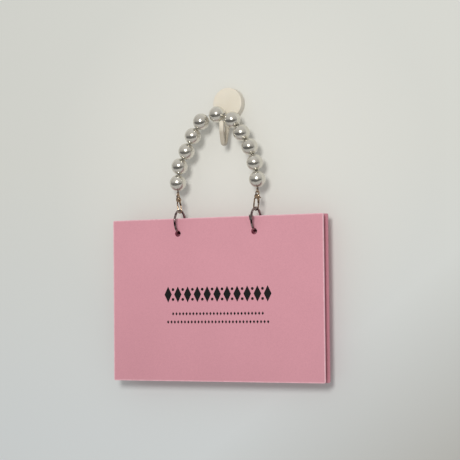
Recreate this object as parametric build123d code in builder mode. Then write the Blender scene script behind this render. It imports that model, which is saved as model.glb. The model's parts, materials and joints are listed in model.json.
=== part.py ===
from build123d import *
from math import asin, cos, degrees, radians, sin, sqrt, tan
import os

os.makedirs("parts", exist_ok=True)

# A landscape album on two loose-leaf rings, carried by a strand of faux pearls that hangs on a wall hook.
# Millimetres. +Z is up, +X is to the right, the covers face -Y, and the wall is the plane Y = 0.
# The origin is the middle of the adhesive pad's back face.

# ---- wall hook ----
pad_d = 24.0
pad_t = 0.8
disc_d = 30.0
disc_t = 7.6
disc_edge_r = 1.0
arm_w = 4.5  # width of the J arm, seen from the front
arm_t = 3.2  # thickness of the J arm
arm_edge_r = 1.3
arm_reach = 12.4  # from the disc's face forward to the middle of the front leg
arm_bend_r = 2.4  # centreline radius of the arm's bends
arm_top_drop = 10.0  # the rear leg starts in the disc, this far below its centre
rear_drop = 25.0  # down to where the rear leg turns forward
vee_drop = 45.5  # down to where the lines of the two legs meet
vee_reach = 8.0  # the same point, forward of the disc's face
front_drop = 28.0  # down to where the front leg turns upright
tip_drop = 20.0  # down to the centre of the arm's round tip
bend_round = 4.0  # height over which the arm's sides round in to its bottom

# ---- bead strand ----
pearl_d = 15.8
pearl_gap = 0.2  # between neighbouring pearls
top_gap = 1.2  # between the two pearls that sit on the hook's tip
shoulder_gap = 2.2  # between the left one of them and the next pearl
bore_clearance = 0.2  # round the line, where it runs farthest from a pearl's middle
pearl_to_disc = 2.2
seat_gap = 0.2  # between the hook's tip and the two pearls that sit on it
left_leans = [72, 35, 26, 29, 7]  # each pearl's step from straight down, from the hook to the left end
right_leans = [37, 32, 19, 9]  # the same, to the right end
strand_span = 83.6  # between the middles of the two end pearls
line_d = 0.6
line_bend_r = 3.0
spread_limits = (0.4, 1.7)  # smallest and largest factor on the leans
spread_steps = 50
loop_r = 0.8  # centreline radius of the loop at each end of the line
loop_gap = 0.1  # between the end pearl and the loop
crimp_d = 1.5
crimp_bore_d = 0.8
crimp_l = 2.0

# ---- jump rings and lobster clasps ----
jump_wire_d = 0.8
jump_ring_d = 4.2
eye_bar = 0.8  # metal above the eye's hole
eye_hole_d = 2.4
eye_t = 1.1
eye_recess_r = 1.6  # the clasp's body is thinned to the eye's thickness this far round the hole's centre
eye_gap = 0.45  # between the eye's bar and the jump ring below it
clasp_t = 2.8
clasp_r = 2.4  # half the width of the clasp's rounded body
clasp_edge_r = 0.5
jaw_top = 7.6  # from the eye's top down to the top of the jaw's opening
jaw_l = 9.8
jaw_w = 3.2
jaw_d = 1.4
jaw_root_drop = 5.0  # where the jaw leaves the body, below the eye's top
lever_t = 1.1
lever_slot_w = 1.4
lever_hub_r = 1.15
lever_play = 0.24  # clear space round the lever's hub
lever_tip_r = 0.7
lever_pivot = (1.3, -5.5)  # right of and below the eye's top
lever_tip_drop = 12.0  # from the eye's top down to the lever's tip
mouth_gap = 0.12  # between the lever's tip and the jaw's end
thumb_r = 0.6
thumb_out = 2.0  # from the pivot out to the thumb piece
rivet_d = 1.0
rivet_fit = 0.03
spring_wire_d = 0.3
spring_pocket_w = 0.8
spring_pocket_l = 1.4  # from the lever's slot into the body
spring_pocket_h = 2.3
spring_reach = 1.15  # from the slot to the leg in the pocket
spring_body_leg = 1.6
spring_lever_leg = 1.85
clasp_turn = {"left": -25.0, "right": 0.0}  # how far each clasp is turned about its length

# ---- loose-leaf rings ----
ring_d = 24.0
ring_wire_d = 2.2
ring_spacing = 80.0
ring_gap = 0.45  # between the jaw's bar and the ring in it
knuckle_turn = {"left": -102.0, "right": 102.0}  # from the ring's bottom, towards the front
knuckle_out = 0.7  # the pin lies outside the wire's centreline by this much
knuckle_r = 1.5
knuckle_w = 2.9
knuckle_neck = 1.9
neck_out = 0.23  # the neck lies outside the wire's centreline by this much
tongue_w = 1.0
tongue_gap = 0.1  # on each side of the tongue
knuckle_arc = 14.0  # degrees of the ring that the knuckle's neck takes on each side
wire_start = 10.0  # degrees from the pin to where the round wire starts
pin_d = 1.2
pin_fit = 0.04
pin_head_d = 1.8
pin_head_t = 0.25
stud_d = 1.1
stud_l = 1.3
socket_gap = 0.15
closure_gap = 0.1

# ---- album ----
cover_w = 220.0
cover_h = 155.0
cover_t = 1.5
cover_corner_r = 1.5
cover_hole_inset = 14.5  # from the top edge to the holes' centres
cover_hole_shift = 0.8  # right of the middle in the front cover, left of it in the back one, which is turned round
leaf_count = 6
leaf_w = 210.0
leaf_h = 148.0
leaf_t = 0.5
leaf_pitch = 1.0
leaf_hole_inset = 12.0
leaf_to_cover = 0.25
sheet_hole_d = 6.0
hang_gap = 0.3  # between a sheet's hole and the wire that it hangs on

# ---- places worked out from the sizes ----
SIDES = {"left": -1, "right": 1}
disc_face_y = -(pad_t + disc_t)
arm_front_y = disc_face_y - arm_reach
pearl_r = pearl_d / 2
top_step = len(left_leans)
gaps = [pearl_gap] * (top_step - 1) + [shoulder_gap, top_gap] + [pearl_gap] * len(right_leans)
lengths = [pearl_d + gap for gap in gaps]
strand_y = disc_face_y - pearl_to_disc - pearl_r
tip = Vector(0, strand_y, -tip_drop)


def along(angle, length):
    """A step in the strand's plane, at an angle from straight up towards +X."""
    return Vector(sin(radians(angle)), 0, cos(radians(angle))) * length


def seat_height():
    """Height of the middle of the top pair of pearls above the tip's centre, square to their line.

    The pearls hang behind the tip, so its rear edge meets each pearl on a circle smaller than the pearl.
    """
    behind_tip = strand_y - (arm_front_y + arm_t / 2)
    reach = sqrt((pearl_r + seat_gap) ** 2 - behind_tip**2) + arm_w / 2
    return sqrt(reach**2 - (lengths[top_step] / 2) ** 2)


def strand_angles(spread):
    """Directions of the ten steps from the lower left pearl over the hook to the lower right one."""
    left = [lean * spread for lean in reversed(left_leans)]
    right = [180 - lean * spread for lean in right_leans]
    rise = sum(length * cos(radians(a)) for length, a in zip(lengths, left))
    fall = sum(length * cos(radians(a)) for length, a in zip(lengths[top_step + 1 :], right))
    tilt = degrees(asin((rise + fall) / lengths[top_step]))  # of the top pair, which levels the two ends
    return left + [90 + tilt] + right


def pearl_centres(angles):
    steps = [along(angle, length) for angle, length in zip(angles, lengths)]
    middle = tip + along(angles[top_step] - 90, seat_height())
    centres = [middle - steps[top_step] / 2, middle + steps[top_step] / 2]
    for step in reversed(steps[:top_step]):
        centres.insert(0, centres[0] - step)
    for step in steps[top_step + 1 :]:
        centres.append(centres[-1] + step)
    return centres


def strand_width(spread):
    centres = pearl_centres(strand_angles(spread))
    return centres[-1].X - centres[0].X


# the leans are spread or narrowed together until the strand has its span
low, high = spread_limits
for _ in range(spread_steps):
    spread = (low + high) / 2
    low, high = (spread, high) if strand_width(spread) < strand_span else (low, spread)

angles = strand_angles(spread)
pearls = pearl_centres(angles)
end_x = {"left": pearls[0].X, "right": pearls[-1].X}
album_x = (end_x["left"] + end_x["right"]) / 2
ring_x = {side: album_x + sign * ring_spacing / 2 for side, sign in SIDES.items()}
loop_z = pearls[0].Z - pearl_r - loop_gap - loop_r - line_d / 2
jump_r = (jump_ring_d - jump_wire_d) / 2
jump_z = loop_z - jump_r
jaw_r = (jaw_w + jaw_d) / 2
bend_v = -(jaw_top + jaw_l - jaw_w / 2)  # the centre of the jaw's bend, from the eye's top
eye_rise = jump_wire_d / 2 + eye_gap + eye_bar  # the eye's top above the jump ring's lower wire
# each clasp leans outward, from its ring up to its end of the strand
clasp_lean = {side: degrees(asin((end_x[side] - ring_x[side]) / (-bend_v - eye_rise))) for side in SIDES}
jaw_bar_z = jump_z - jump_r + (eye_rise + bend_v) * cos(radians(clasp_lean["left"])) - jaw_r
ring_r = (ring_d - ring_wire_d) / 2
ring_top_z = jaw_bar_z + jaw_d / 2 + ring_gap + ring_wire_d / 2
ring_z = ring_top_z - ring_r


def hang(far):
    """Depth of a sheet's hole centre below the ring's centre, for a sheet whose farther face is far off."""
    inside = sqrt((ring_r - ring_wire_d / 2) ** 2 - far**2)
    return inside - hang_gap + sheet_hole_d / 2


leaf_offsets = [leaf_pitch * ((leaf_count - 1) / 2 - n) for n in range(leaf_count)]
cover_offset = leaf_offsets[0] + leaf_t / 2 + leaf_to_cover + cover_t / 2


# ---- wall hook ----
with BuildPart() as adhesive_pad:
    with BuildSketch(Plane.XZ):
        Circle(pad_d / 2)
    extrude(amount=pad_t)
adhesive_pad.part.label = "adhesive_pad"
export_step(adhesive_pad.part, "parts/adhesive_pad.step")

# the J arm: down from the disc, round the bend and up to the tip
with BuildPart() as arm:
    with BuildLine(Plane.YZ) as arm_path:
        FilletPolyline(
            (disc_face_y, -arm_top_drop),
            (disc_face_y, -rear_drop),
            (disc_face_y - vee_reach, -vee_drop),
            (arm_front_y, -front_drop),
            (arm_front_y, -tip_drop),
            radius=arm_bend_r,
        )
    with BuildSketch(Plane.XY.offset(-arm_top_drop)):
        with Locations((0, disc_face_y)):
            RectangleRounded(arm_w, arm_t, arm_edge_r)
    sweep(path=arm_path.line)
    # the tip is the arm's own section turned over the top
    with BuildSketch(Plane.XY.offset(-tip_drop)):
        with Locations((0, arm_front_y)):
            RectangleRounded(arm_w, arm_t, arm_edge_r)
            Rectangle(arm_w, arm_t, mode=Mode.SUBTRACT, align=(Align.MAX, Align.CENTER))
    revolve(axis=Axis((0, arm_front_y, -tip_drop), (0, -1, 0)), revolution_arc=180)
    # seen from the front, the arm's sides round in to its lowest point
    arm_bottom = arm.part.bounding_box().min.Z
    with BuildSketch(Plane.XZ):
        with Locations((0, arm_bottom + bend_round)):
            Ellipse(arm_w / 2, bend_round)
            Rectangle(arm_w, -arm_bottom, align=(Align.CENTER, Align.MIN))
    extrude(amount=-2 * arm_front_y, both=True, mode=Mode.INTERSECT)

with BuildPart() as hook_body:
    with BuildSketch(Plane.XZ.offset(pad_t)):
        Circle(disc_d / 2)
    extrude(amount=disc_t)
    fillet(hook_body.edges().filter_by(GeomType.CIRCLE).group_by(Axis.Y)[0], disc_edge_r)
    add(arm.part)
hook_body.part.label = "hook_body"
export_step(hook_body.part, "parts/hook_body.step")

# ---- bead strand ----
# the line runs straight through each pearl and turns in the gap between two, on the outer side of the bend
turns = [b - a for a, b in zip([0] + angles, angles + [180])]
line_points = [pearls[0] - Vector(0, 0, pearl_r + loop_gap + line_d / 2)]
for n, angle in enumerate(angles):
    outward = lengths[n] / 2 * tan(radians(turns[n] + turns[n + 1]) / 4)
    line_points.append((pearls[n] + pearls[n + 1]) / 2 + along(angle - 90, outward))
line_points.append(pearls[-1] - Vector(0, 0, pearl_r + loop_gap + line_d / 2))

runs = [(foot, (head - foot).normalized()) for foot, head in zip(line_points, line_points[1:])]
aside = max((centre - foot).cross(run).length for centre, (foot, run) in zip(pearls, runs))
pearl_bore_d = 2 * (aside + line_d / 2 + bore_clearance)
for n, (centre, (_, run)) in enumerate(zip(pearls, runs)):
    with BuildPart(Plane(origin=centre, z_dir=run)) as pearl:
        Sphere(pearl_r)
        Cylinder(pearl_bore_d / 2, pearl_d, mode=Mode.SUBTRACT)
    pearl.part.label = f"pearl_{n + 1:02d}"
    export_step(pearl.part, f"parts/{pearl.part.label}.step")

with BuildPart() as bead_line:
    with BuildLine() as line_path:
        FilletPolyline(*line_points, radius=line_bend_r)
    with BuildSketch(Plane(origin=line_path.line @ 0, z_dir=line_path.line % 0)):
        Circle(line_d / 2)
    sweep(path=line_path.line)
    for x in end_x.values():
        with Locations(Location((x, strand_y, loop_z), (90, 0, 0))):
            Torus(loop_r, line_d / 2)
bead_line.part.label = "bead_line"
export_step(bead_line.part, "parts/bead_line.step")

line_ends = {"left": line_points[:2], "right": line_points[-1:-3:-1]}
for side, (foot, head) in line_ends.items():
    run = (head - foot).normalized()
    with BuildPart(Plane(origin=foot + run * (loop_gap + crimp_l / 2 + line_d), z_dir=run)) as crimp:
        Cylinder(crimp_d / 2, crimp_l)
        Cylinder(crimp_bore_d / 2, crimp_l, mode=Mode.SUBTRACT)
    crimp.part.label = f"{side}_crimp"
    export_step(crimp.part, f"parts/{side}_crimp.step")

    with BuildPart(Plane(origin=(end_x[side], strand_y, jump_z), z_dir=(1, 0, 0))) as jump_ring:
        Torus(jump_r, jump_wire_d / 2)
    jump_ring.part.label = f"{side}_jump_ring"
    export_step(jump_ring.part, f"parts/{side}_jump_ring.step")


# ---- lobster clasps ----
# each clasp is drawn in its own plane, right and up from the top of its eye
lever_tip = (jaw_r, -lever_tip_drop)
lever_reach = sqrt((lever_tip[0] - lever_pivot[0]) ** 2 + (lever_tip[1] - lever_pivot[1]) ** 2)
slot_left = lever_pivot[0] - lever_hub_r - lever_play
slot_top = lever_pivot[1] + lever_hub_r + lever_play


def clasp_plane(side):
    turn = radians(clasp_turn[side])
    right = Vector(cos(turn), sin(turn), 0).rotate(Axis.Y, clasp_lean[side])
    front = Vector(sin(turn), -cos(turn), 0).rotate(Axis.Y, clasp_lean[side])
    eye_top = Vector(end_x[side], strand_y, jump_z - jump_r) + along(clasp_lean[side], eye_rise)
    return Plane(origin=eye_top, x_dir=right, z_dir=front)


def clasp_body(plane):
    with BuildPart() as body:
        with BuildSketch(plane):
            with Locations((0, -(jaw_top - clasp_r))):
                Circle(clasp_r)
        extrude(amount=clasp_t / 2, both=True)
        fillet(body.faces().sort_by(Axis(plane.origin, plane.z_dir))[-1].edges(), clasp_edge_r)
        fillet(body.faces().sort_by(Axis(plane.origin, plane.z_dir))[0].edges(), clasp_edge_r)
        # the jaw is round wire from the body's left side, round the bottom and up towards the lever
        with BuildLine(plane) as jaw_path:
            FilletPolyline(
                (-clasp_r / 2, -jaw_root_drop),
                (-jaw_r, -jaw_top - jaw_d / 2),
                (-jaw_r, bend_v),
                radius=jaw_r,
            )
            CenterArc((0, bend_v), jaw_r, 180, 180)
            Line((jaw_r, bend_v), lever_tip)
        with BuildSketch(Plane(origin=jaw_path.line @ 0, z_dir=jaw_path.line % 0)):
            Circle(jaw_d / 2)
        sweep(path=jaw_path.line)
        # the mouth is cleared round the lever's pivot, so that the tip can swing past the jaw's end
        with BuildSketch(plane):
            with Locations(lever_pivot):
                Circle(lever_reach + mouth_gap)
            with Locations((lever_tip[0], -jaw_top)):
                Rectangle(jaw_w, jaw_l, mode=Mode.INTERSECT, align=(Align.CENTER, Align.MAX))
        extrude(amount=jaw_d, both=True, mode=Mode.SUBTRACT)
        # the eye is thinner than the body, so that the jump ring passes through it at a slant
        for radius, deep, mode in (
            (eye_recess_r, clasp_t, Mode.SUBTRACT),
            (eye_bar + eye_hole_d / 2, eye_t / 2, Mode.ADD),
            (eye_hole_d / 2, clasp_t, Mode.SUBTRACT),
        ):
            with BuildSketch(plane):
                with Locations((0, -(eye_bar + eye_hole_d / 2))):
                    Circle(radius)
            extrude(amount=deep, both=True, mode=mode)
        # the lever's slot, its rivet hole and the spring's pocket beside it
        with BuildSketch(plane):
            with Locations((slot_left, slot_top)):
                Rectangle(2 * clasp_r, slot_top + jaw_top, align=(Align.MIN, Align.MAX))
        extrude(amount=lever_slot_w / 2, both=True, mode=Mode.SUBTRACT)
        with BuildSketch(plane):
            with Locations(lever_pivot):
                Circle(rivet_d / 2 + rivet_fit)
        extrude(amount=clasp_t, both=True, mode=Mode.SUBTRACT)
        with BuildSketch(plane):
            with Locations((slot_left, slot_top)):
                Rectangle(spring_pocket_l, spring_pocket_h, align=(Align.MAX, Align.MAX))
        extrude(amount=spring_pocket_w / 2, both=True, mode=Mode.SUBTRACT)
    return body


def clasp_lever(plane):
    with BuildPart() as lever:
        with BuildSketch(plane):
            with Locations(lever_pivot):
                Circle(lever_hub_r)
            with Locations(lever_tip):
                Circle(lever_tip_r)
            make_hull()
            with Locations(lever_pivot):
                Circle(lever_reach, mode=Mode.INTERSECT)
        extrude(amount=lever_t / 2, both=True)
        with BuildSketch(plane):
            with Locations(lever_pivot):
                Circle(lever_hub_r)
            with Locations((lever_pivot[0] + thumb_out, lever_pivot[1] - thumb_r)):
                Circle(thumb_r)
            make_hull()
        extrude(amount=lever_t / 2, both=True)
        with BuildSketch(plane):
            with Locations(lever_pivot):
                Circle(rivet_d / 2 + rivet_fit)
        extrude(amount=lever_t, both=True, mode=Mode.SUBTRACT)
    return lever


def clasp_spring(plane):
    """A bent wire in the body's pocket that presses on the lever's flank below the rivet."""
    top = slot_top - spring_wire_d
    with BuildPart() as spring:
        with BuildLine(plane) as wire:
            FilletPolyline(
                (slot_left - spring_reach, top - spring_body_leg),
                (slot_left - spring_reach, top),
                (slot_left - spring_wire_d, top),
                (slot_left - spring_wire_d, top - spring_lever_leg),
                radius=spring_wire_d,
            )
        with BuildSketch(Plane(origin=wire.line @ 0, z_dir=wire.line % 0)):
            Circle(spring_wire_d / 2)
        sweep(path=wire.line)
    return spring


for side in SIDES:
    plane = clasp_plane(side)
    body = clasp_body(plane)
    body.part.label = f"{side}_clasp_body"
    export_step(body.part, f"parts/{side}_clasp_body.step")

    lever = clasp_lever(plane)
    lever.part.label = f"{side}_clasp_lever"
    export_step(lever.part, f"parts/{side}_clasp_lever.step")

    with BuildPart() as rivet:
        with BuildSketch(plane):
            with Locations(lever_pivot):
                Circle(rivet_d / 2)
        extrude(amount=clasp_t / 2, both=True)
    rivet.part.label = f"{side}_clasp_rivet"
    export_step(rivet.part, f"parts/{side}_clasp_rivet.step")

    spring = clasp_spring(plane)
    spring.part.label = f"{side}_clasp_spring"
    export_step(spring.part, f"parts/{side}_clasp_spring.step")

# ---- loose-leaf rings ----
# each ring is drawn in its own plane, with its knuckle at angle 0 and its closure at 180
pin_r = ring_r + knuckle_out
neck_r = ring_r + neck_out


def ring_plane(side):
    turn = radians(knuckle_turn[side])
    out = (0, -sin(turn), -cos(turn))
    return Plane(origin=(ring_x[side], strand_y, ring_z), x_dir=out, z_dir=(-SIDES[side], 0, 0))


def knuckle_face(arc):
    """The flat end of a ring half: a neck along the ring and an eye round the pin."""
    neck = CenterArc((0, 0), neck_r, 0, arc)
    with BuildSketch() as face:
        SlotArc(neck, knuckle_neck)
        with Locations((pin_r, 0)):
            Circle(knuckle_r)
    return face.sketch


def ring_half(plane, arc, width, wire_end):
    """Half a ring: its round wire, its knuckle and the hole for the pin."""
    flat = knuckle_face(arc)
    with BuildPart() as half:
        with BuildLine(plane) as circle:
            CenterArc((0, 0), ring_r, wire_end[0], wire_end[1])
        with BuildSketch(Plane(origin=circle.line @ 0, z_dir=circle.line % 0)):
            Circle(ring_wire_d / 2)
        sweep(path=circle.line)
        with BuildSketch(plane):
            add(flat)
        extrude(amount=width / 2, both=True)
        with BuildSketch(plane):
            with Locations((pin_r, 0)):
                Circle(pin_d / 2 + pin_fit)
        extrude(amount=knuckle_w, both=True, mode=Mode.SUBTRACT)
    return half


def closure_plane(plane):
    """Where the ring's ends meet, looking along the wire into the upper half."""
    return Plane(origin=plane.from_local_coords(Vector(-ring_r, 0, 0)), z_dir=plane.y_dir)


closure_turn = degrees(closure_gap / ring_r)
for side in SIDES:
    plane = ring_plane(side)
    half = ring_half(plane, -knuckle_arc, knuckle_w, (-wire_start, wire_start - 180))
    with BuildPart() as lower:
        add(half.part)
        # the fork's slot takes the upper half's tongue, and the stud snaps into its socket
        with BuildSketch(plane):
            with Locations((pin_r, 0)):
                Circle(knuckle_r + 2 * tongue_gap)
        extrude(amount=tongue_w / 2 + tongue_gap, both=True, mode=Mode.SUBTRACT)
        with BuildSketch(closure_plane(plane)):
            Circle(stud_d / 2)
        extrude(amount=stud_l)
    lower.part.label = f"{side}_ring_lower"
    export_step(lower.part, f"parts/{side}_ring_lower.step")

    half = ring_half(plane, knuckle_arc, tongue_w, (wire_start, 180 - wire_start - closure_turn))
    with BuildPart() as upper:
        add(half.part)
        with BuildSketch(closure_plane(plane)):
            Circle(stud_d / 2 + socket_gap)
        extrude(amount=stud_l + 2 * socket_gap, mode=Mode.SUBTRACT)
    upper.part.label = f"{side}_ring_upper"
    export_step(upper.part, f"parts/{side}_ring_upper.step")

    with BuildPart() as pin:
        with BuildSketch(plane):
            with Locations((pin_r, 0)):
                Circle(pin_d / 2)
        extrude(amount=knuckle_w / 2 + pin_fit, both=True)
        for face in (-1, 1):
            with BuildSketch(plane.offset(face * (knuckle_w / 2 + pin_fit))):
                with Locations((pin_r, 0)):
                    Circle(pin_head_d / 2)
            extrude(amount=face * pin_head_t)
    pin.part.label = f"{side}_ring_pin"
    export_step(pin.part, f"parts/{side}_ring_pin.step")


# ---- album ----
def sheet(width, height, thick, corner_r, hole_inset, hole_shift, offset):
    """A punched sheet that hangs on the rings, its middle plane offset forward of their centre."""
    hole_z = ring_z - hang(abs(offset) + thick / 2)
    middle = (album_x - hole_shift, strand_y - offset, hole_z + hole_inset - height / 2)
    with BuildPart() as board:
        with BuildSketch(Plane(origin=middle, x_dir=(1, 0, 0), z_dir=(0, -1, 0))):
            if corner_r:
                RectangleRounded(width, height, corner_r)
            else:
                Rectangle(width, height)
            hole_v = height / 2 - hole_inset
            with Locations(*[(hole_shift + s * ring_spacing / 2, hole_v) for s in SIDES.values()]):
                Circle(sheet_hole_d / 2, mode=Mode.SUBTRACT)
        extrude(amount=thick / 2, both=True)
    return board


for name, face in {"front_cover": 1, "back_cover": -1}.items():
    shift, offset = face * cover_hole_shift, face * cover_offset
    cover = sheet(cover_w, cover_h, cover_t, cover_corner_r, cover_hole_inset, shift, offset)
    cover.part.label = name
    export_step(cover.part, f"parts/{name}.step")

for n, offset in enumerate(leaf_offsets):
    leaf = sheet(leaf_w, leaf_h, leaf_t, 0, leaf_hole_inset, 0, offset)
    leaf.part.label = f"leaf_{n + 1}"
    export_step(leaf.part, f"parts/leaf_{n + 1}.step")
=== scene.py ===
"""Looks of a landscape ring album on a bead handle, hung from a round hook on a wall. Metres throughout."""

import json
from math import cos, pi, radians, sin, tan

import bmesh
import bpy
from mathutils import Matrix, Vector


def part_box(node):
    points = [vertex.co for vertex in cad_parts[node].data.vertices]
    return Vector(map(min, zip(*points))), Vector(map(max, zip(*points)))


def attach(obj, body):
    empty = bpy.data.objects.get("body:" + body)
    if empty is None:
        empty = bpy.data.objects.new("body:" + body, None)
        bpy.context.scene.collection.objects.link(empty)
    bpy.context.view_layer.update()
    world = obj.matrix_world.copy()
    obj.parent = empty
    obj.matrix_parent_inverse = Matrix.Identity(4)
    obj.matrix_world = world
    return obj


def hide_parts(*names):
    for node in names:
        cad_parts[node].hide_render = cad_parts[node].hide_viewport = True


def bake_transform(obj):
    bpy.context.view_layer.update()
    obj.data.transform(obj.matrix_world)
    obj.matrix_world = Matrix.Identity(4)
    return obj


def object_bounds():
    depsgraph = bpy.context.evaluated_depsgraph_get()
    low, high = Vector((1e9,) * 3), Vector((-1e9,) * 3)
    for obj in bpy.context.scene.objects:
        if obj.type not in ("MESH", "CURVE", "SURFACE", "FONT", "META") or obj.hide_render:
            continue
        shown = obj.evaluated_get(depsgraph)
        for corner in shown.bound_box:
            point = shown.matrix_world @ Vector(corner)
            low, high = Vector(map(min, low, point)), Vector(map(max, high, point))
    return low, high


# ---- camera, seen from the middle of the front cover's face ----
AIM = Vector((0.0144, 0.0032, 0.0650))
DISTANCE = 1.3668
AZIMUTH = 25.19
ELEVATION = -2.84
ROLL = -0.59
LENS = 113.5  # on a 36 mm sensor
CLIP_START = 0.05

# ---- stage ----
WALL_GAP = 0.0002  # the wall lies just behind the adhesive pad
WALL_REACH = 3.0
WALL_TOP = 2.5
FLOOR_DROP = 0.24  # below the album
FLOOR_DEPTH = 0.5
PAINTED_LIGHT_CENTRE = (0, 0, -0.06)  # painted light: the wall is painted brightest round this place
PAINTED_LIGHT_REACH = 0.2
COOL_SPAN = (-0.05, -0.32)  # heights between which the wall turns cooler
PAINTED_SHADE_SLOPE = (0.6, -0.8)  # direction across and up in which painted shade dims the wall
PAINTED_SHADE_SPAN = (0.25, 0.44)

# ---- light, from the middle of the part ----
KEY_PLACE = Vector((0.36, -1.71, 0.44))
KEY_SIZE = 0.5
KEY_POWER = 15
KEY_TONE = (1.0, 0.99, 0.97)
EVEN_LIGHT = (0.5, 0.5, 0.5, 1)
ROOM_LOWEST, ROOM_HIGHEST = (0.42, 0.41, 0.4, 1), (0.6, 0.6, 0.6, 1)
ROOM_LEVELS = ((0.1, 0.4), (0.2, 0.03), (0.45, 0.01), (0.495, 0.34), (0.65, 0.44), (0.85, 0.55))
ROOM_WARMTH = (1, 0.98, 0.94)

# ---- small pieces ----
LINE_RADIUS = 0.0003
LOOP_RADIUS = 0.0008
LOOP_STEPS = 32
LINE_SOIL = (0.0035, 0.003)  # heights over the line's foot: clear above the first, soiled below the second
INK = 0.00004  # thickness of the printed ink

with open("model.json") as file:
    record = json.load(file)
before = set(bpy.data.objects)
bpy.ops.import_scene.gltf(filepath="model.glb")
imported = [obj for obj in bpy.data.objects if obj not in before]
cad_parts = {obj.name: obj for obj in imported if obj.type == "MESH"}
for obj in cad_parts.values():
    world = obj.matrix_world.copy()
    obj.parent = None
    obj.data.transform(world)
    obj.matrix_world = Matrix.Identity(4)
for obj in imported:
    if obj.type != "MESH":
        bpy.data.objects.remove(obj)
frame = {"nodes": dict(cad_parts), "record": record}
cad_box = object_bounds()
nodes = frame["nodes"]


def middle(name):
    low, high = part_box(name)
    return (low + high) / 2


# ---- node graphs ----
class Graph:
    """The nodes of one material or of the world. An input is a plain value or another node's output."""

    def __init__(self, tree):
        self.tree = tree
        self.tree.nodes.clear()

    def add(self, kind, inputs=None, **settings):
        node = self.tree.nodes.new("ShaderNode" + kind)
        for key, value in settings.items():
            setattr(node, key, value)
        for key, value in (inputs or {}).items():
            if isinstance(value, bpy.types.NodeSocket):
                self.tree.links.new(value, node.inputs[key])
            else:
                node.inputs[key].default_value = value
        return node

    def math(self, operation, a, b=0.0):
        return self.add("Math", {0: a, 1: b}, operation=operation).outputs[0]

    def coordinates(self):
        return self.add("TexCoord").outputs["Object"]

    def height(self):
        return self.add("SeparateXYZ", {0: self.coordinates()}).outputs["Z"]

    def noise(self, scale, detail=3.0, roughness=0.5, vector=None):
        inputs = {"Scale": scale, "Detail": detail, "Roughness": roughness}
        inputs["Vector"] = vector or self.coordinates()
        return self.add("TexNoise", inputs).outputs["Fac"]

    def span(self, value, source, target):
        inputs = {0: value, 1: source[0], 2: source[1], 3: target[0], 4: target[1]}
        return self.add("MapRange", inputs).outputs[0]

    def blend(self, factor, a, b, kind="MIX"):
        return self.add("Mix", {0: factor, 6: a, 7: b}, data_type="RGBA", blend_type=kind).outputs[2]

    def grade(self, value, a, b, source=(0.3, 0.7)):
        """Colour a where the value is at the source's first end, and b at its second."""
        return self.blend(self.span(value, source, (0, 1)), a, b)

    def bump(self, height, distance, strength=1.0):
        return self.add("Bump", {"Height": height, "Distance": distance, "Strength": strength}).outputs[0]


def colour(red, green, blue):
    """A shader colour from one given as on a screen, 0 to 255."""
    plain = [channel / 255 for channel in (red, green, blue)]
    return tuple(c / 12.92 if c <= 0.04045 else ((c + 0.055) / 1.055) ** 2.4 for c in plain) + (1.0,)


def shade(tone, factor):
    return tuple(channel * factor for channel in tone[:3]) + (1.0,)


def surface(name, paint):
    """A material whose Principled shader takes the inputs that paint(graph) gives."""
    material = bpy.data.materials.new(name)
    material.use_nodes = True
    graph = Graph(material.node_tree)
    shader = graph.add("BsdfPrincipled", paint(graph))
    graph.add("OutputMaterial", {"Surface": shader.outputs[0]})
    return material


# ---- materials ----
ARM_SHADE_SPAN = (-0.0225, -0.03)  # heights between which painted shade darkens the hook's arm
CUT_FACING = 0.5  # a face that turns away from the front or back by more than this is a cut edge
# width of the pale line along a board's edges: partly wear, partly a painted highlight
WEAR_AND_HIGHLIGHT_WIDTH = 0.0013
HOLE_INSET = (0.003, 0.005)  # a cut face that lies farther in from the board's edge is a hole's wall, which gets painted shade
FOOT_SHADE = 0.07  # painted shade: darkening from a board's middle down to its lower edge
TARNISH_SPAN, TARNISH_DEPTH = (0.43, 0.6), 0.92


def hook_plastic(g):
    """Cream plastic, with painted shade that darkens it towards the arm's bend."""
    clouds = g.noise(60, 4)
    grain = g.noise(2600, 2)
    unshaded = g.grade(clouds, colour(236, 228, 211), colour(229, 221, 203))
    return {
        # painted shade: the arm is painted darker than the disc
        "Base Color": g.grade(g.height(), unshaded, colour(190, 181, 164), ARM_SHADE_SPAN),
        "Roughness": g.span(clouds, (0.3, 0.7), (0.34, 0.44)),
        "Specular IOR Level": 0.45,
        "Subsurface Weight": 0.06,
        "Subsurface Radius": (0.004, 0.003, 0.002),
        "Subsurface Scale": 0.2,
        "Normal": g.bump(grain, 0.00001, 0.5),
    }


def pad_foam(g):
    cells = g.add("TexVoronoi", {"Vector": g.coordinates(), "Scale": 2400.0}).outputs["Distance"]
    return {
        "Base Color": g.grade(cells, colour(198, 198, 194), colour(232, 232, 229), (0, 0.6)),
        "Roughness": 0.9,
        "Normal": g.bump(cells, 0.00008, 0.6),
    }


def pearl_lacquer(g):
    clouds = g.noise(130, 5, 0.6)
    ripple = g.noise(420, 2)
    return {
        "Base Color": g.grade(clouds, colour(213, 209, 199), colour(231, 227, 217)),
        "Metallic": 0.86,
        "Roughness": g.span(clouds, (0.3, 0.7), (0.17, 0.24)),
        "Coat Weight": 0.35,
        "Coat Roughness": 0.05,
        "Normal": g.bump(ripple, 0.00002, 0.4),
    }


def nylon(g):
    """Clear line, darkened by the jump rings that rub its two ends."""
    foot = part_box("bead_line")[0].z
    heights = tuple(foot + rise for rise in LINE_SOIL)
    return {
        "Base Color": g.grade(g.height(), colour(226, 228, 228), colour(84, 60, 46), heights),
        "Roughness": g.span(g.noise(900), (0.3, 0.7), (0.15, 0.3)),
        "Transmission Weight": 0.5,
        "IOR": 1.53,
    }


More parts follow.
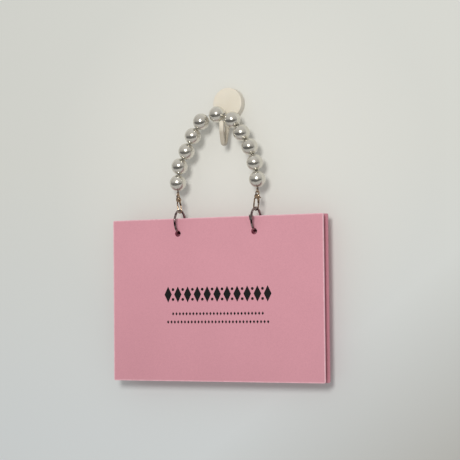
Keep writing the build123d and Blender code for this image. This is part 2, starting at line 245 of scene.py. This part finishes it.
def plated(tone, dark, rough):
    """Paint of a plated metal with fine scratches and a little tarnish."""

    def paint(g):
        stretched = g.add("Mapping", {"Vector": g.coordinates(), "Scale": (1.0, 1.0, 0.12)}).outputs[0]
        scratches = g.noise(5200, 3, 0.7, stretched)
        tarnish = g.noise(320, 4, 0.6)
        return {
            "Base Color": g.blend(g.span(tarnish, TARNISH_SPAN, (0, TARNISH_DEPTH)), tone, dark),
            "Metallic": 1.0,
            "Roughness": g.span(tarnish, (0.3, 0.7), (rough, rough + 0.12)),
            "Normal": g.bump(scratches, 0.000006, 0.5),
        }

    return paint


def board(tone, core, wear_and_highlight_strength, grain_scale, low, high):
    """Paint of a laminated board: a fine grain, its core at the cut edges, a pale line beside them that is
    partly wear and partly a painted highlight, painted shade on the holes' walls and painted shade towards
    the lower edge.
    """
    centre, half = (low + high) / 2, (high - low) / 2

    def paint(g):
        place = g.add("SeparateXYZ", {0: g.coordinates()})
        facing = g.add("SeparateXYZ", {0: g.add("TexCoord").outputs["Normal"]}).outputs["Y"]
        cut = g.math("LESS_THAN", g.math("ABSOLUTE", facing), CUT_FACING)
        margins = []
        for axis, key in ((0, "X"), (2, "Z")):
            offset = g.math("ABSOLUTE", g.math("SUBTRACT", place.outputs[key], centre[axis]))
            margins.append(g.math("SUBTRACT", half[axis], offset))
        margin = g.math("MINIMUM", *margins)
        scuffs = g.noise(260, 5, 0.65)
        # a pale line beside the edges: partly patchy wear, partly a painted highlight along the lit edge
        beside = g.span(margin, (0, WEAR_AND_HIGHLIGHT_WIDTH), (1, 0))
        rubbed_and_lit = g.math("MULTIPLY", beside, g.span(scuffs, (0.3, 0.68), (0.3, 1)))
        pale_edge_wear_and_highlight = g.math("MULTIPLY", rubbed_and_lit, wear_and_highlight_strength)
        clouds = g.noise(16, 3)
        grain = g.noise(grain_scale, 2)
        flat = g.grade(clouds, tone, shade(tone, 0.955))
        # painted shade: the board darkens towards its lower edge
        flat = g.blend(g.span(place.outputs["Z"], (centre[2], low[2]), (0, FOOT_SHADE)), flat, (0, 0, 0, 1))
        fibres = g.blend(1.0, flat, (0.93, 0.92, 0.92, 1), "MULTIPLY")
        flat = g.grade(grain, flat, fibres, (0.35, 0.65))
        # painted shade: the holes' walls get a deeper, darker pink than the cut edges
        edge = g.grade(margin, core, HOLE_WALL_SHADE, HOLE_INSET)
        return {
            "Base Color": g.blend(g.math("MAXIMUM", cut, pale_edge_wear_and_highlight), flat, edge),
            "Roughness": g.span(grain, (0.3, 0.7), (0.52, 0.66)),
            "Specular IOR Level": 0.35,
            "Normal": g.bump(grain, 0.00002, 0.6),
        }

    return paint


def ink(g):
    pits = g.noise(1900, 3, 0.6)
    return {
        "Base Color": g.grade(pits, colour(8, 6, 7), colour(22, 17, 19), (0.55, 0.72)),
        "Roughness": g.span(pits, (0.3, 0.7), (0.5, 0.65)),
        "Specular IOR Level": 0.3,
        "Normal": g.bump(pits, 0.00001, 0.5),
    }


GOLD = plated(colour(206, 178, 150), colour(54, 34, 26), 0.12)
NICKEL = plated(colour(164, 148, 147), colour(80, 58, 60), 0.1)
STEEL = plated(colour(190, 190, 190), colour(120, 120, 118), 0.25)
COVER_GRAIN, LEAF_GRAIN = 1500, 900
COVERS = {  # tone, core and strength of the pale edge line. The front one's pale core and edge line are partly its own colour and partly a painted highlight; the back one's darker tone and core are painted shade, for the front cover's shadow on it
    "front_cover": (colour(221, 156, 168), colour(250, 206, 214), 1.0),
    "back_cover": (colour(206, 138, 151), colour(196, 140, 150), 0.4),
}
LEAF = (colour(186, 118, 131), colour(178, 128, 138), 0.5)
# painted shade in the holes: a deep pink, darker than the boards' cores
HOLE_WALL_SHADE = colour(196, 84, 118)

finishes = {
    "hook_plastic": surface("hook_plastic_satin", hook_plastic),
    "pad_foam": surface("pad_foam_white", pad_foam),
    "pearl": surface("pearl_lacquer", pearl_lacquer),
    "line_nylon": surface("nylon_clear", nylon),
    "gold": surface("gold_plate", GOLD),
    "spring_steel": surface("spring_wire", STEEL),
    "nickel": surface("nickel_plate", NICKEL),
}


def dress(name, material):
    """A CAD node keeps its shape and gets this material."""
    mesh = nodes[name].data
    mesh.materials.clear()
    mesh.materials.append(material)


for part in frame["record"]["subparts"]:
    name, finish = part["node"], part["material_slot"]
    if finish == "cover_board":
        paint = board(*COVERS[name], COVER_GRAIN, *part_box(name))
        dress(name, surface(f"{name}_laminate", paint))
    elif finish == "leaf_card":
        paint = board(*LEAF, LEAF_GRAIN, *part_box(name))
        dress(name, surface(f"{name}_card", paint))
    else:
        dress(name, finishes[finish])


# ---- meshes ----
def piece(name, mesh_data, material, smooth=True):
    mesh = bpy.data.meshes.new(name)
    mesh_data.normal_update()
    mesh_data.to_mesh(mesh)
    mesh_data.free()
    if smooth:
        mesh.shade_smooth()
    else:
        mesh.shade_flat()
    mesh.materials.append(material)
    made = bpy.data.objects.new(name, mesh)
    bpy.context.scene.collection.objects.link(made)
    return made


def tube(path, radius, sides=12, closed=False):
    """A round tube along the points of a path in the strand's plane."""
    mesh = bmesh.new()
    angles = [2 * pi * k / sides for k in range(sides)]
    side = Vector((0, 1, 0))
    rings = []
    for n, point in enumerate(path):
        before = path[n - 1] if n or closed else point
        after = path[(n + 1) % len(path)] if n + 1 < len(path) or closed else point
        across = (after - before).normalized().cross(side)
        rings.append([mesh.verts.new(point + (side * cos(t) + across * sin(t)) * radius) for t in angles])
    for a, b in zip(rings, rings[1:] + rings[:1] if closed else rings[1:]):
        for k in range(sides):
            mesh.faces.new((a[k], a[(k + 1) % sides], b[(k + 1) % sides], b[k]))
    if not closed:
        mesh.faces.new(rings[0])
        mesh.faces.new(reversed(rings[-1]))
    bmesh.ops.recalc_face_normals(mesh, faces=mesh.faces)
    return mesh


def smooth_path(points, order=3, resolution=12):
    """Points along the NURBS spline whose control points are these."""
    curve = bpy.data.curves.new("route", "CURVE")
    curve.dimensions = "3D"
    spline = curve.splines.new("NURBS")
    spline.points.add(len(points) - 1)
    for control, point in zip(spline.points, points):
        control.co = (*point, 1)
    spline.order_u = order
    spline.use_endpoint_u = True
    curve.resolution_u = resolution
    holder = bpy.data.objects.new("route", curve)
    mesh = bpy.data.meshes.new_from_object(holder)
    route = [v.co.copy() for v in mesh.vertices]
    bpy.data.objects.remove(holder)
    return route


# ---- the bead line, one piece from pearl to pearl ----
pearl_names = sorted(n for n in nodes if n.startswith("pearl_"))
pearls = [middle(n) for n in pearl_names]
bodies = frame["record"]["behaviour"]["bodies"]
home = {n: body for body, members in bodies.items() for n in members}
steps = [b - a for a, b in zip(pearls, pearls[1:])]
down = Vector((0, 0, -1))
headings = [-down] + steps + [down]
turns = [a.angle(b) for a, b in zip(headings, headings[1:])]
for n, step in enumerate(steps):
    outward = Vector((0, 1, 0)).cross(step).normalized() * -1
    contact = (pearls[n] + pearls[n + 1]) / 2
    bend = contact + outward * step.length / 2 * tan((turns[n] + turns[n + 1]) / 4)
    path = smooth_path([pearls[n], (pearls[n] + bend) / 2, bend, (pearls[n + 1] + bend) / 2, pearls[n + 1]])
    name = f"bead_line_{n + 1:02d}"
    line = piece(name, tube(path, LINE_RADIUS), finishes["line_nylon"])
    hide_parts("bead_line")
    here, there = home[pearl_names[n]], home[pearl_names[n + 1]]
    if here == there:
        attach(line, here)
    else:
        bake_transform(line)

for side, end in {"left": 0, "right": -1}.items():
    last = pearls[end]
    foot = Vector((last.x, last.y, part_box("bead_line")[0].z + LOOP_RADIUS + LINE_RADIUS))
    neck = foot + Vector((0, 0, LOOP_RADIUS))
    angles = [2 * pi * k / LOOP_STEPS for k in range(LOOP_STEPS)]
    shapes = {
        f"{side}_line_end": tube([last, (last + neck) / 2, neck], LINE_RADIUS),
        f"{side}_line_loop": tube([foot + Vector((cos(t), 0, sin(t))) * LOOP_RADIUS for t in angles],
                                  LINE_RADIUS, closed=True),
    }
    for name, shape in shapes.items():
        made = piece(name, shape, finishes["line_nylon"])
        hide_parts("bead_line")
        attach(made, home[pearl_names[end]])

# ---- print on the front cover ----
low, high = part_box("front_cover")
PRINT_SHIFT = Vector((0.0018, 0.0, 0.0049))  # the ornament's middle from the cover's
MOTIF_PITCH = 0.0104
MOTIF_COUNT = 11
DIAMOND = (0.0039, 0.0076)  # half width and half height
DOT_RADIUS = 0.0014
DOT_RISE = 0.62  # of a diamond's half height
LOZENGE = (0.0012, 0.0017)  # half width and half height
LOZENGE_PITCH = 0.0036
RULE_LENGTHS = (0.0965, 0.1085)
RULE_DROPS = (0.0184, 0.0262)  # below the diamonds' row
face = Vector(((low.x + high.x) / 2, low.y, (low.z + high.z) / 2))
ornament = face + PRINT_SHIFT
ink_film = surface("ink_black", ink)


def printed(name, outlines):
    """Flat ink on the cover, an island for each outline of points across and up from ornament."""
    mesh = bmesh.new()
    for outline in outlines:
        front = [mesh.verts.new(ornament + Vector((x, -INK, z))) for x, z in outline]
        rear = [mesh.verts.new(ornament + Vector((x, 0, z))) for x, z in outline]
        mesh.faces.new(front)
        for k in range(len(front)):
            nxt = (k + 1) % len(front)
            mesh.faces.new((front[k], rear[k], rear[nxt], front[nxt]))
    bmesh.ops.recalc_face_normals(mesh, faces=mesh.faces)
    made = piece(name, mesh, ink_film, smooth=False)
    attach(made, home["front_cover"])


def diamond(x, z, half):
    return [(x - half[0], z), (x, z - half[1]), (x + half[0], z), (x, z + half[1])]


def disc(x, z, radius, count=24):
    angles = [2 * pi * k / count for k in range(count)]
    return [(x + radius * cos(t), z + radius * sin(t)) for t in angles]


row = [(k - (MOTIF_COUNT - 1) / 2) * MOTIF_PITCH for k in range(MOTIF_COUNT)]
printed("print_diamonds", [diamond(x, 0, DIAMOND) for x in row])
dots = [disc((a + b) / 2, side * DIAMOND[1] * DOT_RISE, DOT_RADIUS)
        for a, b in zip(row, row[1:]) for side in (-1, 1)]
printed("print_dots", dots)
for n, (length, drop) in enumerate(zip(RULE_LENGTHS, RULE_DROPS)):
    count = round(length / LOZENGE_PITCH)
    marks = [diamond((k - (count - 1) / 2) * LOZENGE_PITCH, -drop, LOZENGE) for k in range(count)]
    printed(f"print_rule_{n + 1}", marks)


# ---- stage ----
def stage_material(name, paint):
    """A matt surface that only its front shows: views from behind it see through it."""
    material = bpy.data.materials.new(name)
    material.use_nodes = True
    g = Graph(material.node_tree)
    rays = g.add("LightPath").outputs
    mirrored = g.math("MAXIMUM", rays["Is Glossy Ray"], rays["Is Transmission Ray"])
    seen = g.math("MAXIMUM", rays["Is Camera Ray"], mirrored)
    front = g.math("SUBTRACT", 1.0, g.add("NewGeometry").outputs["Backfacing"])
    matt = g.add("BsdfDiffuse", {"Color": paint(g)}).outputs[0]
    clear = g.add("BsdfTransparent").outputs[0]
    mixed = g.add("MixShader", {0: g.math("MULTIPLY", seen, front), 1: clear, 2: matt})
    g.add("OutputMaterial", {"Surface": mixed.outputs[0]})
    return material


def wall_paint_and_light(g):
    """Off-white, with a painted pool of light round the hook, cooler low down, and painted shade that dims
    it to the lower right.
    """
    place = g.add("SeparateXYZ", {0: g.coordinates()}).outputs
    tone = g.grade(place["Z"], colour(218, 219, 213), colour(214, 218, 218), COOL_SPAN)
    far = g.add("VectorMath", {0: g.coordinates(), 1: PAINTED_LIGHT_CENTRE}, operation="DISTANCE").outputs["Value"]
    # painted light round the hook
    tone = g.grade(far, tone, colour(231, 230, 223), (PAINTED_LIGHT_REACH, 0))
    across, up = PAINTED_SHADE_SLOPE
    slope = g.math("ADD", g.math("MULTIPLY", place["X"], across), g.math("MULTIPLY", place["Z"], up))
    # painted shade, darker towards the lower right
    return g.grade(slope, tone, colour(178, 176, 169), PAINTED_SHADE_SPAN)


def floor_paint(g):
    return g.blend(g.noise(3), colour(226, 226, 224), colour(220, 220, 218))


def stage_sheet(name, first, second, finish, paint):
    """A flat sheet as wide as the stage, between two edges at these (y, z)."""
    edges = ((-1, first), (1, first), (1, second), (-1, second))
    mesh = bpy.data.meshes.new(name)
    mesh.from_pydata([(side * WALL_REACH, *edge) for side, edge in edges], [], [tuple(range(len(edges)))])
    mesh.materials.append(stage_material(finish, paint))
    made = bpy.data.objects.new(name, mesh)
    bpy.context.scene.collection.objects.link(made)


floor_z = cad_box[0].z - FLOOR_DROP
wall_y = cad_box[1].y + WALL_GAP
stage_sheet("wall", (wall_y, floor_z), (wall_y, WALL_TOP), "wall_paint_and_light", wall_paint_and_light)
stage_sheet("floor", (wall_y - FLOOR_DEPTH, floor_z), (wall_y, floor_z), "floor_pale", floor_paint)

# ---- light ----
scene = bpy.context.scene
world = bpy.data.worlds.new("room")
scene.world = world
world.use_nodes = True
g = Graph(world.node_tree)
height = g.add("SeparateXYZ", {0: g.add("TexCoord").outputs["Generated"]}).outputs["Z"]
ramp = g.add("ValToRGB", {0: g.span(height, (-1, 1), (0, 1))})
tones = ramp.color_ramp
tones.elements[0].position, tones.elements[0].color = 0.0, ROOM_LOWEST
tones.elements[1].position, tones.elements[1].color = 1.0, ROOM_HIGHEST
for position, level in ROOM_LEVELS:
    tones.elements.new(position).color = (*(level * share for share in ROOM_WARMTH), 1)
# the room seen in glossy surfaces has a dark band below eye level; matt surfaces get even light
glossy = g.add("LightPath").outputs["Is Glossy Ray"]
shown = g.blend(glossy, EVEN_LIGHT, ramp.outputs["Color"])
sky = g.add("Background", {"Color": shown, "Strength": 1.0})
g.add("OutputWorld", {"Surface": sky.outputs[0]})

centre = (cad_box[0] + cad_box[1]) / 2
light = bpy.data.lights.new("key", "AREA")
light.shape = "DISK"
light.size = KEY_SIZE
light.energy = KEY_POWER
light.color = KEY_TONE
lamp = bpy.data.objects.new("key", light)
lamp.location = centre + KEY_PLACE
lamp.rotation_euler = KEY_PLACE.to_track_quat("Z", "Y").to_euler()
scene.collection.objects.link(lamp)

# ---- camera ----
azimuth, elevation, roll = radians(AZIMUTH), radians(ELEVATION), radians(ROLL)
back = Vector((sin(azimuth) * cos(elevation), -cos(azimuth) * cos(elevation), sin(elevation)))
level = Vector((0, 0, 1)).cross(back).normalized()
upright = back.cross(level)
right = level * cos(roll) + upright * sin(roll)
up = upright * cos(roll) - level * sin(roll)
camera = bpy.data.cameras.new("camera")
camera.lens = LENS
camera.clip_start = CLIP_START
eye = bpy.data.objects.new("camera", camera)
turn = Matrix((right, up, back)).transposed().to_4x4()
eye.matrix_world = Matrix.Translation(face + AIM + back * DISTANCE) @ turn
scene.collection.objects.link(eye)
scene.camera = eye
scene.view_settings.view_transform = "Standard"
